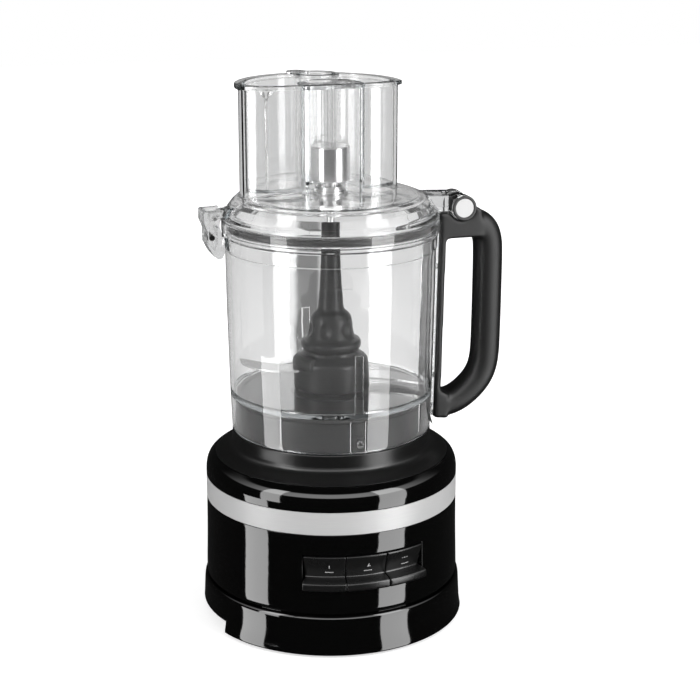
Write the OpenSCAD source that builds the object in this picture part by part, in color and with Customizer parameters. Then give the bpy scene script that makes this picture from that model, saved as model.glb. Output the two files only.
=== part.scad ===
// Food processor: a round motor base with three paddle buttons, a clear
// work bowl with a closed handle, a hinged lid with a wide feed tube and
// two pushers, and an S-blade on a tall stem.
// Units are millimetres. The Z axis is the spindle axis, the floor is z = 0,
// the buttons face -Y, the handle and lid hinge are on +X, the latch on -X.

/* [Base] */
// Radius of the base body at its waist
base_r = 103.6; // [97:0.2:110]
// How far the bottom skirt stands out beyond the waist
skirt_out = 5.3; // [4.3:0.1:6]
// Wall thickness of the black housings
shell_t = 3; // [2.6:0.1:3.4]
// Height of the silver band
band_h = 18.7; // [15:0.1:22]
// Thickness of the silver band
band_t = 1.5; // [1.2:0.1:1.8]
// Height of the line where the bottom tray meets the body
crease_z = 34.5; // [34:0.1:36]
// Width of the rubber ring that the base stands on
foot_w = 7; // [5:0.5:8]

/* [Buttons] */
// Angle that one paddle takes around the front
button_pitch = 18.7; // [17.5:0.1:19]
// Clear gap between neighbouring paddles
button_gap = 0.7; // [0.5:0.1:1.2]
// Height of a paddle's upper face
button_h = 18; // [16:0.5:20]
// Diameter of the steel pin that a paddle turns on
button_pin_d = 3; // [2.4:0.1:3.4]

/* [Drive] */
// Diameter of the drive shaft
shaft_d = 12; // [11:0.2:12.6]
// Radius of the large belt pulley
pulley_r = 42; // [38:0.5:42.5]
// Radius of the motor pulley
motor_pulley_r = 9; // [8:0.5:9.5]
// Distance from the spindle to the motor shaft
motor_y = 58; // [58:0.5:60]
// Length of the motor can
motor_l = 70; // [58:1:76]

/* [Bowl] */
// Outer radius of the bowl just below its collar
bowl_r = 84.7; // [79:0.1:90]
// Wall thickness of the bowl
bowl_t = 2.6; // [2.2:0.1:2.8]
// Height of the bowl from its foot to its rim
bowl_h = 173.2; // [167:0.2:186]
// Width of the handle grip
grip_w = 26; // [22:0.5:29]
// Depth of the handle grip
grip_t = 22.8; // [19:0.5:24]

/* [Lid] */
// Height of the feed tube above the lid
tube_h = 84; // [70:1:95]
// Lid left clear on the latch side of the feed tube
tube_left = 13.7; // [13.4:0.1:17]
// Lid left clear on the handle side of the feed tube
tube_right = 27.9; // [27:0.1:30]
// Lid left clear behind the feed tube
tube_back = 14.2; // [13.9:0.1:17]
// How far the flat front of the feed tube lies ahead of the hub
tube_front = 12; // [9:0.5:16]
// Wall thickness of the feed tube
tube_t = 2.4; // [2:0.1:2.6]
// Radius of the hinge barrel
barrel_r = 10.2; // [9.4:0.1:10.4]
// Radius of the chrome cap over the lid's hub
cap_r = 15.5; // [14.6:0.1:16]

/* [Blade] */

// Thickness of the steel blades
blade_t = 1.6; // [1.2:0.1:2]
// Radius of the wide blade hub
hub_r = 30.5; // [29:0.5:31]

/* [Fits] */
// Gap between the blade tips and the wall of the bowl
tip_gap = 1.3; // [0.8:0.1:4]
// Side gap between the pedestal and the foot of the bowl
foot_gap = 1; // [0.8:0.1:2.4]
// Radial clearance of a turning shaft in its bush
run_fit = 0.06; // [0.03:0.01:0.09]
// Clear gap between parts that lift apart or swing
part_gap = 0.35; // [0.3:0.01:0.4]
// Side gap between the large pusher and the feed tube
pusher_gap = 1.1; // [0.8:0.1:1.4]
// Side gap between the small pusher and its tube
small_gap = 0.6; // [0.4:0.1:0.9]

/* [Hidden] */
$fn = 64;

// Heights, from the floor up.
tray_z = 2;
floor_z = 3.5;
floor_t = 3;
band_z = 102.5;
band_top = band_z + band_h;
join_z = band_z + band_h / 2;
edge_z = band_top + 18.9;
deck_z = band_top + 39.3;
ped_z = deck_z + 26.7;
boss_h = 1.2;
bowl_z = deck_z + 1.4;
grip_z = deck_z - 2.1;
bfloor_z = ped_z + boss_h + 1.2;
bfloor_t = 3.2;
inside_z = bfloor_z + bfloor_t;
rim_z = bowl_z + bowl_h;
seat_z = rim_z - 9.6;
lid_z = rim_z + part_gap;
top_z = rim_z + 19.6;
tube_top = top_z + tube_h - 1.2;
chute_z = rim_z + 8.8;
flange_t = 3.2;

// Plan of the base.
skirt_r = base_r + skirt_out;
inner_r = base_r - shell_t;
deck_r = base_r - 7.1;
pedestal_r = bowl_r - 3.2 - bowl_t - foot_gap;
step_r = bowl_r - 3.3;
ring_w = deck_r - step_r;
col_r = base_r - 8.2;
deck_scr_r = base_r - 15.6;
pillar_r = base_r - 29.6;
pillar_a = [25, 155, 205, 335];
plate_r = col_r - 6;
gland_y = base_r - 10.6;
gland_z = 19;
col_a = [65, 115, 245, 295];
foot_c = base_r - 23.6;
recess_r = base_r - 13.6;
recess_a = 21;

// Buttons: the recess spans three paddles, the front is at 270 degrees.
btn_z0 = 57.3;
btn_z1 = 66.5 + button_h;
btn_pin_r = base_r - 11.6;
btn_back_r = base_r - 8;
frame_r = base_r - 17.6;
board_y = base_r - 37.6;
btn_pin_z = btn_z1 - 5;
btn_span = 1.5 * button_pitch + 0.35;
lip_r = base_r + 6.7;
knuckle_r = 3.4;
frame_scr_z = 71;

// Drive: the belt runs below the motor plate.
belt_z = 12;
belt_w = 12;
belt_t = 2.2;
plate_z = 28;
plate_t = 3;
can_r = 29.5;
can_z = plate_z + plate_t;
mshaft_d = 8;
chimney_r = 10.6;
chimney_in = 8;
shaft_top = rim_z - 73;

// Hinge axis, latch axis and pins.
hinge_x = bowl_r + 23.1;
hinge_z = rim_z + 3.4;
knuckle_w = 13;
prong_w = 28;
barrel_w = 33;
pin_d = 5;
seat_r = barrel_r + 0.6;
latch_x = -bowl_r - 11.8;
latch_pz = rim_z + 5;

// Feed tube plan: round at the back, flat in front, with a bay for the hub.
tube_w = 2 * bowl_r - tube_left - tube_right;
tube_x = (tube_left - tube_right) / 2;
bay_r = 20.5;
tube_y1 = bowl_r - tube_back;
tube_r = tube_w / 2;
tube_corner = 34;
food_x = 0;
food_y = (tube_y1 + bay_r) / 2 - 3.5;
food_r = (tube_y1 - bay_r) / 2 - 10;

// Colours.
c_gloss = [0.02, 0.02, 0.02];
c_matte = [0.09, 0.09, 0.09];
c_silver = [0.78, 0.78, 0.77];
c_steel = [0.7, 0.7, 0.72];
c_rubber = [0.12, 0.12, 0.12];
c_clear = [0.9, 0.93, 0.95, 0.35];
c_board = [0.1, 0.35, 0.2];
c_copper = [0.7, 0.4, 0.2];
c_white = [0.9, 0.9, 0.88];

// Smooth curve through a list of points, n steps between each two.
function cr(a, b, c, d, t) = 0.5 * (2 * b + (c - a) * t
  + (2 * a - 5 * b + 4 * c - d) * t * t
  + (3 * b - a - 3 * c + d) * t * t * t);
function smooth(P, n) = concat([for (i = [0:len(P) - 2], k = [0:n - 1])
  cr(P[max(i - 1, 0)], P[i], P[i + 1], P[min(i + 2, len(P) - 1)], k / n)],
  [P[len(P) - 1]]);
function rev(P) = [for (i = [len(P) - 1:-1:0]) P[i]];
function shift(P, dx, dy) = [for (p = P) [p[0] + dx, p[1] + dy]];
function sgn(x) = x < 0 ? -1 : 1;

// A ring of revolution from r0 to r1, z0 to z1.
module ring(r0, r1, z0, z1) {
  rotate_extrude() translate([r0, z0]) square([r1 - r0, z1 - z0]);
}
// Part of a ring, a0 to a1 degrees.
module arc_ring(r0, r1, z0, z1, a0, a1) {
  rotate([0, 0, a0]) rotate_extrude(angle = a1 - a0)
    translate([r0, z0]) square([r1 - r0, z1 - z0]);
}
// A plate cut from a profile in the XZ plane, w wide about y = 0.
module side_plate(P, w) {
  translate([0, w / 2, 0]) rotate([90, 0, 0]) linear_extrude(w) polygon(P);
}
// A cylinder along Y, centred on y = 0.
module y_rod(x, z, r, w) {
  translate([x, w / 2, z]) rotate([90, 0, 0]) cylinder(r = r, h = w);
}
// A pan-head screw that points along +Z from the underside of its head.
module screw(d, len, head_d, head_h) {
  difference() {
    union() {
      translate([0, 0, -head_h]) cylinder(d = head_d, h = head_h);
      translate([0, 0, -0.5]) cylinder(d = d, h = len + 0.5);
    }
    translate([-head_d * 0.3, -0.5, -head_h - 1])
      cube([head_d * 0.6, 1, 1.7]);
    translate([-0.5, -head_d * 0.3, -head_h - 1])
      cube([1, head_d * 0.6, 1.7]);
  }
}
// A rectangle with corner radius r, half sizes a and b.
module rrect(a, b, r) {
  square([2 * (a - r), 2 * b], center = true);
  square([2 * a, 2 * (b - r)], center = true);
  for (x = [-1, 1], y = [-1, 1])
    translate([x * (a - r), y * (b - r)]) circle(r = r);
}
// Outline of the feed tube; d grows it.
module tube_outline(d) {
  intersection() {
    translate([tube_x, tube_y1 - tube_r]) circle(r = tube_r + d);
    translate([tube_x, 2 * tube_r - tube_front])
      rrect(tube_r + 6 + d, 2 * tube_r + d, tube_corner + d);
  }
}
module tube_plan(d) {
  difference() {
    tube_outline(d);
    circle(r = bay_r - d);
    translate([-bay_r + d, -2 * bowl_r])
      square([2 * (bay_r - d), 2 * bowl_r]);
  }
}

// ---------------------------------------------------------------- base
// Bottom tray: skirt, floor, foot pockets and finger recesses.
skirt_line = [[skirt_r - 2.4, tray_z], [skirt_r - 0.3, tray_z + 0.5],
  [skirt_r, tray_z + 2.4], [skirt_r - 1.3, 13], [skirt_r - 2.1, 28],
  [skirt_r - 2.6, crease_z - 2], [skirt_r - 3.7, crease_z - 0.3]];
module bottom_tray() {
  color(c_gloss) difference() {
    union() {
      rotate_extrude() polygon(concat(smooth(skirt_line, 3),
        [[skirt_r - 6.3, crease_z - 0.3], [skirt_r - 5.2, floor_z],
         [skirt_r - 5.2, tray_z]]));
      translate([0, 0, floor_z]) cylinder(r = skirt_r - 4, h = floor_t);
      for (a = [0, 180]) rotate([0, 0, a]) {
        arc_ring(recess_r - 3.4, recess_r + 2, floor_z + 1, 15,
          -recess_a - 3, recess_a + 3);
        arc_ring(recess_r - 2, skirt_r - 3, 11, 14.6, -recess_a - 2.6,
          recess_a + 2.6);
        for (s = [-1, 1])
          arc_ring(recess_r - 2, skirt_r - 3, floor_z + 1.4, 14,
            s * (recess_a + 0.8) - 1.6, s * (recess_a + 0.8) + 1.6);
      }
      ring(foot_c - foot_w / 2 - 2, foot_c + foot_w / 2 + 2, floor_z + 0.4, 8);
      for (a = pillar_a) rotate([0, 0, a]) translate([pillar_r, 0, floor_z])
        cylinder(r = 6, h = plate_z - floor_z);
      for (a = col_a) rotate([0, 0, a]) translate([col_r, 0, floor_z])
        cylinder(r = 5.5, h = 4.5);
      translate([-9, gland_y + 2, floor_z]) cube([18, 7, 25.2]);
    }
    for (a = [0, 180]) rotate([0, 0, a])
      arc_ring(recess_r, skirt_r + 20, -5, 12.2, -recess_a, recess_a);
    ring(foot_c - foot_w / 2 - 0.1, foot_c + foot_w / 2 + 0.1, -5, 5);
    for (a = col_a) rotate([0, 0, a]) translate([col_r, 0, -5]) {
      cylinder(r = 2.2, h = 30);
      cylinder(r = 4.2, h = 5 + floor_z + 1.6);
    }
    for (a = pillar_a) rotate([0, 0, a]) translate([pillar_r, 0, 14])
      cylinder(r = 2.05, h = 30);
    for (i = [-4:4]) for (s = [-1, 1])
      translate([s * 26 - 18, i * 7 - 1.5, -5]) cube([36, 3, 20]);
    translate([0, gland_y - 8, gland_z]) rotate([-90, 0, 0])
      cylinder(r = 6.1, h = 40);
  }
}
module foot_ring() {
  color(c_rubber) rotate_extrude() polygon([
    [foot_c - foot_w / 2 + 0.8, 0], [foot_c + foot_w / 2 - 0.8, 0],
    [foot_c + foot_w / 2, 0.8], [foot_c + foot_w / 2, 5],
    [foot_c - foot_w / 2, 5], [foot_c - foot_w / 2, 0.8]]);
}
module cover_screws() {
  color(c_steel) for (a = col_a) rotate([0, 0, a])
    translate([col_r, 0, floor_z + 1.6]) screw(4, 16, 7.6, 2.4);
}
// Body shell from the crease to the middle of the band.
body_line = [[base_r - 1.8, crease_z], [base_r + 0.4, crease_z + 1.6],
  [base_r + 1.1, crease_z + 4.5], [base_r + 0.9, 50], [base_r + 0.3, 75],
  [base_r, band_z]];
module base_housing() {
  color(c_gloss) difference() {
    union() {
      rotate_extrude() polygon(concat(smooth(body_line, 3),
        [[base_r - band_t, band_z], [base_r - band_t, join_z],
         [inner_r - band_t, join_z], [inner_r - band_t, band_z - 4],
         [inner_r, band_z - 6], [inner_r, crease_z]]));
      ring(inner_r - 1.6, inner_r + 1, crease_z - 5, crease_z + 6);
      arc_ring(recess_r, base_r - 0.6, btn_z0 - 4, btn_z1 + 4.2,
        270 - btn_span - 4, 270 + btn_span + 4);
      for (a = col_a) rotate([0, 0, a])
        translate([col_r, 0, floor_z + 4.6])
          cylinder(r = 5.5, h = 42 - floor_z);
    }
    arc_ring(base_r - 24, base_r + 20, btn_z0 - 0.8, btn_z1 + 1,
      270 - btn_span, 270 + btn_span);
    for (a = col_a) rotate([0, 0, a]) translate([col_r, 0, -5])
      cylinder(r = 2.02, h = 35);
    for (s = [-1, 1]) rotate([0, 0, 270 + s * (btn_span + 2)])
      translate([frame_r + 2, 0, frame_scr_z]) rotate([0, 90, 0])
        cylinder(r = 1.3, h = 9);
  }
}
module trim_band() {
  color(c_silver) rotate_extrude() polygon([
    [base_r - band_t + 0.04, band_z + 0.1], [base_r - 0.2, band_z + 0.1],
    [base_r + 0.1, band_z + 0.4], [base_r + 0.1, band_top - 0.4],
    [base_r - 0.2, band_top - 0.1], [base_r - band_t + 0.04, band_top - 0.1]]);
}
// Shoulder: rounds in from the band to the deck.
shoulder_line = [[base_r + 0.1, band_top], [base_r + 0.1, band_top + 3.2],
  [base_r - 0.1, band_top + 7.2], [base_r - 1.1, band_top + 11.8],
  [base_r - 3.3, band_top + 15.7], [deck_r, edge_z]];
module base_shoulder() {
  color(c_gloss) difference() {
    union() {
      rotate_extrude() polygon(concat([[base_r - band_t, join_z]],
        [[base_r - band_t, band_top]], smooth(shoulder_line, 4),
        [[deck_r - 4.6, edge_z - 0.2], [deck_r - 4.6, edge_z - 3.4],
         [inner_r - 3.4, band_top + 12], [inner_r - 0.6, band_top + 5],
         [inner_r - band_t, band_top - 2], [inner_r - band_t, join_z]]));
      ring(inner_r - band_t - 2, inner_r - band_t - 0.05, join_z - 5,
        join_z + 1);
      ring(inner_r - band_t - 2, inner_r - band_t + 1, join_z, join_z + 3);
      for (a = [45:90:315]) rotate([0, 0, a])
        translate([deck_scr_r, 0, edge_z - 22]) cylinder(r = 5, h = 18.6);
      for (a = [45:90:315]) rotate([0, 0, a])
        translate([deck_scr_r - 2, -1.5, edge_z - 22]) cube([14, 3, 14]);
    }
    for (a = [45:90:315]) rotate([0, 0, a])
      translate([deck_scr_r, 0, edge_z - 30]) cylinder(r = 2.2, h = 40);
  }
}
// Deck: the dull top with the pedestal, drive boss and bearing sleeve.
deck_line = [[deck_r - 0.3, edge_z + 0.2],
  [deck_r - 0.245 * ring_w, edge_z + 2],
  [deck_r - 0.523 * ring_w, edge_z + 3.8],
  [step_r + 0.238 * ring_w, edge_z + 5.6],
  [step_r + 0.079 * ring_w, edge_z + 7.9], [step_r + 0.2, edge_z + 10.9]];
module base_deck() {
  color(c_matte) difference() {
    union() {
      rotate_extrude() polygon(concat(smooth(deck_line, 3),
        [[step_r, deck_z - 0.6], [step_r - 0.5, deck_z],
         [pedestal_r + 0.4, deck_z + 0.2], [pedestal_r, deck_z + 1],
         [pedestal_r - 0.4, ped_z - 2], [pedestal_r - 2.4, ped_z],
         [33, ped_z], [32, ped_z + boss_h / 2], [31.4, ped_z + boss_h],
         [0, ped_z + boss_h], [0, ped_z - 3], [pedestal_r - 4.4, ped_z - 3],
         [pedestal_r - 4, deck_z - 3], [step_r - 3.4, deck_z - 3.4],
         [step_r - 3.2, edge_z + 7], [deck_r - 0.6 * ring_w, edge_z + 0.4],
         [deck_r - 4.8, edge_z - 2.6], [deck_r - 4.8, edge_z + 0.2]]));
      translate([0, 0, ped_z - 24]) cylinder(r = 14, h = 24);
      for (a = [0:60:300]) rotate([0, 0, a])
        translate([12, -1.25, ped_z - 20]) cube([pedestal_r - 14, 2.5, 19]);
      for (a = [45:90:315]) rotate([0, 0, a])
        translate([deck_scr_r, 0, edge_z - 3.2]) cylinder(r = 3.7, h = 5.4);
      for (a = [0:60:300]) rotate([0, 0, a + 30])
        translate([pedestal_r - 7.6, -2, ped_z - 18]) cube([5, 4, 17]);
    }
    translate([0, 0, ped_z - 30]) cylinder(r = 11, h = 12);
    translate([0, 0, ped_z - 30]) cylinder(d = shaft_d + 1.4, h = 50);
    for (a = [45:90:315]) rotate([0, 0, a])
      translate([deck_scr_r, 0, edge_z - 6]) cylinder(r = 1.98, h = 7.2);
  }
}
module deck_screws() {
  color(c_steel) for (a = [45:90:315]) rotate([0, 0, a])
    translate([deck_scr_r, 0, edge_z - 22]) screw(3.96, 22, 8, 2.6);
}

// ------------------------------------------------------------- buttons
// One paddle at angle a: a receding face, a shelf and a lip to press.
paddle_line = [[base_r + 0.8, btn_z1], [base_r + 1, btn_z1 - 1.2],
  [base_r - 3.4, btn_z0 + 10.4], [base_r - 3.6, btn_z0 + 9.2],
  [base_r - 2.6, btn_z0 + 8.5], [lip_r - 1.4, btn_z0 + 7.2],
  [lip_r - 0.4, btn_z0 + 6.4], [lip_r, btn_z0 + 5.4],
  [lip_r - 0.2, btn_z0 + 1.2], [lip_r - 1.2, btn_z0],
  [btn_back_r + 1.4, btn_z0], [btn_back_r, btn_z0 + 1.2],
  [btn_back_r, btn_z1]];
module paddle(i) {
  half = button_pitch / 2 - button_gap * 0.28;
  color(c_matte) rotate([0, 0, 270 + i * button_pitch]) difference() {
    union() {
      rotate([0, 0, -half]) rotate_extrude(angle = 2 * half)
        polygon(paddle_line);
      for (s = [-1, 1])
        translate([btn_pin_r, s * 10 + 2, btn_pin_z]) rotate([90, 0, 0])
          cylinder(r = knuckle_r, h = 4);
      for (s = [-1, 1])
        translate([btn_pin_r, s * 10 - 2, btn_pin_z - knuckle_r])
          cube([5, 4, 2 * knuckle_r]);
    }
    translate([btn_pin_r, 14, btn_pin_z]) rotate([90, 0, 0])
      cylinder(d = button_pin_d + 0.3, h = 28);
  }
}
module button_1() { paddle(-1); }
module button_2() { paddle(0); }
module button_pulse() { paddle(1); }
module button_pins() {
  color(c_steel) for (i = [-1:1]) rotate([0, 0, 270 + i * button_pitch])
    translate([btn_pin_r, 12.5, btn_pin_z]) rotate([90, 0, 0])
      cylinder(d = button_pin_d, h = 25);
}
// Frame behind the paddles, with a lug for each pin.
module button_frame() {
  color(c_matte) difference() {
    union() {
      arc_ring(frame_r - 3, frame_r, btn_z0 - 3, btn_z1 + 3,
        270 - btn_span - 3.8, 270 + btn_span + 3.8);
      for (s = [-1, 1])
        arc_ring(frame_r - 2, recess_r - 0.1, btn_z0 - 3, btn_z1 + 3,
          270 + s * (btn_span + 2) - 1.7, 270 + s * (btn_span + 2) + 1.7);
      for (i = [-1:1]) rotate([0, 0, 270 + i * button_pitch]) {
        translate([frame_r - 2, -5.5, btn_pin_z - 3])
          cube([btn_pin_r - frame_r + 2, 11, 6]);
        translate([btn_pin_r, 5.5, btn_pin_z]) rotate([90, 0, 0])
          cylinder(r = 3, h = 11);
      }
    }
    for (i = [-1:1]) rotate([0, 0, 270 + i * button_pitch]) {
      translate([btn_pin_r, 14, btn_pin_z]) rotate([90, 0, 0])
        cylinder(d = button_pin_d, h = 28);
      translate([frame_r - 8, -6.2, btn_z0 + 1.8]) cube([12, 12.4, 8.4]);
    }
    for (s = [-1, 1]) rotate([0, 0, 270 + s * (btn_span + 2)])
      translate([frame_r - 6, 0, frame_scr_z]) rotate([0, 90, 0])
        cylinder(r = 1.45, h = 12);
  }
}
module frame_screws() {
  color(c_steel) for (s = [-1, 1]) rotate([0, 0, 270 + s * (btn_span + 2)])
    translate([frame_r - 3.1, 0, frame_scr_z]) rotate([0, 90, 0])
      screw(2.6, 13, 5.2, 1.6);
}
// Three small switches behind the paddles' feet.
module switches() {
  color(c_white) for (i = [-1:1]) rotate([0, 0, 270 + i * button_pitch]) {
    translate([frame_r - 6.8, -6, btn_z0 + 2]) cube([9, 12, 8]);
    translate([frame_r + 2, 0, btn_z0 + 6]) rotate([0, 90, 0])
      cylinder(r = 1.8, h = btn_back_r - frame_r - 3);
  }
}
module control_board() {
  color(c_board) difference() {
    union() {
      translate([-40, -board_y, 54]) cube([80, 1.6, 34]);
      translate([0, 1.5 - board_y, 0]) {
        translate([-26, 0, 60]) cube([14, 6, 22]);
        translate([4, 0, 62]) cube([24, 10, 9]);
        translate([6, 0, 76]) cube([16, 8, 8]);
        translate([-6, 0, 66]) rotate([-90, 0, 0]) cylinder(r = 4, h = 9);
        for (s = [-1, 1]) translate([s * 36 - 3, 0, can_z])
          cube([6, 5, 88 - can_z]);
      }
    }
    for (x = [-36, 36]) for (z = [58, 84]) translate([x, -board_y - 4, z])
      rotate([-90, 0, 0]) cylinder(r = 1.5, h = 14);
  }
}
module board_screws() {
  color(c_steel) for (x = [-36, 36]) for (z = [58, 84])
    translate([x, -board_y, z]) rotate([-90, 0, 0])
      screw(3, 4.5, 5.4, 1.8);
}
module cord_gland() {
  color(c_rubber) translate([0, gland_y, gland_z]) rotate([-90, 0, 0])
    difference() {
      union() {
        cylinder(r = 8.6, h = 2);
        cylinder(r = 6, h = 22);
        for (i = [0:3]) translate([0, 0, 16.6 + i * 1.6])
          cylinder(r = 6.4, h = 0.8);
      }
      translate([0, 0, -8]) cylinder(r = 3.4, h = 40);
    }
}

// --------------------------------------------------------------- drive
// Steel plate that carries the motor and the lower bearing.
module motor_plate() {
  color(c_steel) difference() {
    union() {
      translate([0, 0, plate_z]) cylinder(r = plate_r, h = plate_t);
      translate([0, 0, plate_z]) cylinder(r = 16, h = 10);
    }
    translate([0, 0, plate_z - 1]) cylinder(r = 11, h = 14);
    translate([0, motor_y, plate_z - 1])
      cylinder(d = mshaft_d + 6, h = 10);
    for (a = pillar_a) rotate([0, 0, a])
      translate([pillar_r, 0, plate_z - 1]) cylinder(r = 2.4, h = 9);
    for (a = [0:90:270]) translate([0, motor_y, plate_z - 1])
      rotate([0, 0, a + 45]) translate([22, 0, 0]) cylinder(r = 2.2, h = 9);
    for (a = [200:20:340]) rotate([0, 0, a])
      translate([40, -4, plate_z - 1]) cube([24, 8, 9]);
  }
}
module plate_screws() {
  color(c_steel) {
    for (a = pillar_a) rotate([0, 0, a])
      translate([pillar_r, 0, plate_z + plate_t]) rotate([180, 0, 0])
        screw(4, 14, 8, 2.6);
    for (a = [0:90:270]) translate([0, motor_y, plate_z])
      rotate([0, 0, a + 45]) translate([22, 0, 0]) screw(4, 8, 7, 2);
  }
}
// Motor can with vent slots and end bells.
module motor_can() {
  color(c_steel) difference() {
    translate([0, motor_y, can_z]) union() {
      cylinder(r = can_r, h = motor_l);
      for (s = [-1, 1]) translate([s * (can_r - 1) - 4, -10, 6])
        cube([8, 20, motor_l - 12]);
    }
    translate([0, motor_y, can_z + 3]) cylinder(r = can_r - 2, h = motor_l - 6);
    translate([0, motor_y, can_z - 2]) cylinder(d = mshaft_d + 4, h = 90);
    for (a = [0:90:270]) translate([0, motor_y, can_z - 2])
      rotate([0, 0, a + 45]) translate([22, 0, 0]) cylinder(r = 2, h = 6);
    for (a = [0:45:315]) translate([0, motor_y, can_z + motor_l - 5])
      rotate([0, 0, a]) translate([13, -2.5, 0]) cube([12, 5, 9]);
    for (a = [30:60:330]) translate([0, motor_y, can_z + 12])
      rotate([0, 0, a]) translate([can_r - 6, -3, 0])
        cube([12, 6, motor_l - 24]);
  }
  color(c_copper) translate([0, motor_y, can_z + 14]) difference() {
    cylinder(r = can_r - 2, h = motor_l - 34);
    translate([0, 0, -1]) cylinder(r = 19, h = 90);
  }
}
module motor_shaft() {
  color(c_steel) translate([0, motor_y, belt_z - 2])
    cylinder(d = mshaft_d, h = can_z + motor_l + 8 - belt_z);
  color(c_copper) translate([0, motor_y, can_z + 14]) difference() {
    cylinder(r = 18, h = motor_l - 34);
    translate([0, 0, -1]) cylinder(d = mshaft_d, h = 90);
    for (a = [0:30:330]) rotate([0, 0, a]) translate([14, -1, -1])
      cube([8, 2, 90]);
  }
}
// A ribbed pulley: pitch radius r, with flanges and a bore.
module pulley(r, bore) {
  difference() {
    union() {
      translate([0, 0, belt_z]) cylinder(r = r, h = belt_w);
      for (z = [belt_z - 1.4, belt_z + belt_w]) translate([0, 0, z])
        cylinder(r = r + 3, h = 1.4);
    }
    translate([0, 0, belt_z - 5]) cylinder(d = bore, h = 30);
    for (i = [0:3]) translate([0, 0, belt_z + 1.9 + i * 2.4])
      rotate_extrude() translate([r - 0.8, 0]) square([2, 1]);
  }
}
module motor_pulley() {
  color(c_steel) translate([0, motor_y, 0])
    pulley(motor_pulley_r, mshaft_d);
}
module drive_pulley() {
  color(c_matte) difference() {
    pulley(pulley_r, shaft_d);
    for (a = [0:60:300]) rotate([0, 0, a]) translate([24, 0, 0])
      cylinder(r = 8, h = 60);
  }
}
// The belt wraps both pulleys; its straight runs are the outer tangents.
belt_a = asin((pulley_r - motor_pulley_r) / motor_y);
module belt_ring(c, r, a0, a1) {
  translate([0, c, 0]) arc_ring(r + 0.25, r + 0.25 + belt_t, belt_z + 0.6,
    belt_z + belt_w - 0.6, a0, a1);
}
module drive_belt() {
  run = motor_y * cos(belt_a);
  color(c_rubber) {
    belt_ring(0, pulley_r, 180 - belt_a, 360 + belt_a);
    belt_ring(motor_y, motor_pulley_r, belt_a, 180 - belt_a);
    for (s = [0, 1]) mirror([s, 0, 0]) rotate([0, 0, belt_a])
      translate([pulley_r + 0.25, 0, belt_z + 0.6])
        cube([belt_t, run, belt_w - 1.2]);
  }
}
module bearing(z0, h) {
  difference() {
    union() {
      ring(shaft_d / 2 + run_fit, shaft_d / 2 + 1.8, z0, z0 + h);
      ring(9.4, 11, z0, z0 + h);
      ring(shaft_d / 2 + 1.5, 9.6, z0 + 0.8, z0 + h - 0.8);
    }
  }
}
module lower_bearing() { color(c_steel) bearing(plate_z + 1, 8); }
module upper_bearing() { color(c_steel) bearing(ped_z - 26, 8); }
module cooling_fan() {
  z0 = can_z + motor_l + 1.5;
  color(c_matte) translate([0, motor_y, z0]) difference() {
    union() {
      cylinder(r = 8, h = 6);
      cylinder(r = 27, h = 1.2);
      for (a = [0:30:330]) rotate([0, 0, a]) translate([9, -0.7, 0.6])
        cube([17, 1.4, 5.4]);
      for (a = [0:90:270]) rotate([0, 0, a]) translate([5, -1, 0.4])
        cube([6, 2, 4]);
    }
    translate([0, 0, -1]) cylinder(d = mshaft_d, h = 20);
  }
}
// Drive shaft with two flats at its top.
module drive_shaft() {
  color(c_steel) difference() {
    union() {
      translate([0, 0, 8.6]) cylinder(d = shaft_d, h = shaft_top - 9.8);
      translate([0, 0, shaft_top - 1.2])
        cylinder(d1 = shaft_d, d2 = shaft_d - 2, h = 1.2);
    }
    for (s = [-1, 1]) translate([s * 9.4 - 5, -10, shaft_top - 20])
      cube([10, 20, 30]);
  }
}

// ---------------------------------------------------------------- bowl
function strip_x(z) = bowl_r + 0.42
  + (z - grip_z - 5) * 3.73 / (rim_z - grip_z - 5.4);
bowl_line = [[bowl_r - 3.6, bowl_z], [bowl_r - 3.3, bowl_z + 1.4],
  [bowl_r - 2.4, bowl_z + 24], [bowl_r - 1.4, bowl_z + 62],
  [bowl_r - 0.5, bowl_z + 108], [bowl_r, rim_z - 24]];
mount_line = [[bowl_r - 6.7, grip_z + 5],
  [strip_x(grip_z + 5) - 0.02, grip_z + 5],
  [strip_x(rim_z - 3) - 0.02, rim_z - 3], [bowl_r - 6.7, rim_z - 3]];
screw_zs = [rim_z - 46, grip_z + 38];
screw_len = 7;
lug_line = shift([[4.7, -22], [-0.8, -22], [-3.7, -18], [-4.2, -12],
  [-1.8, -9.5], [4.7, -9.5]], -bowl_r, rim_z);
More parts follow.
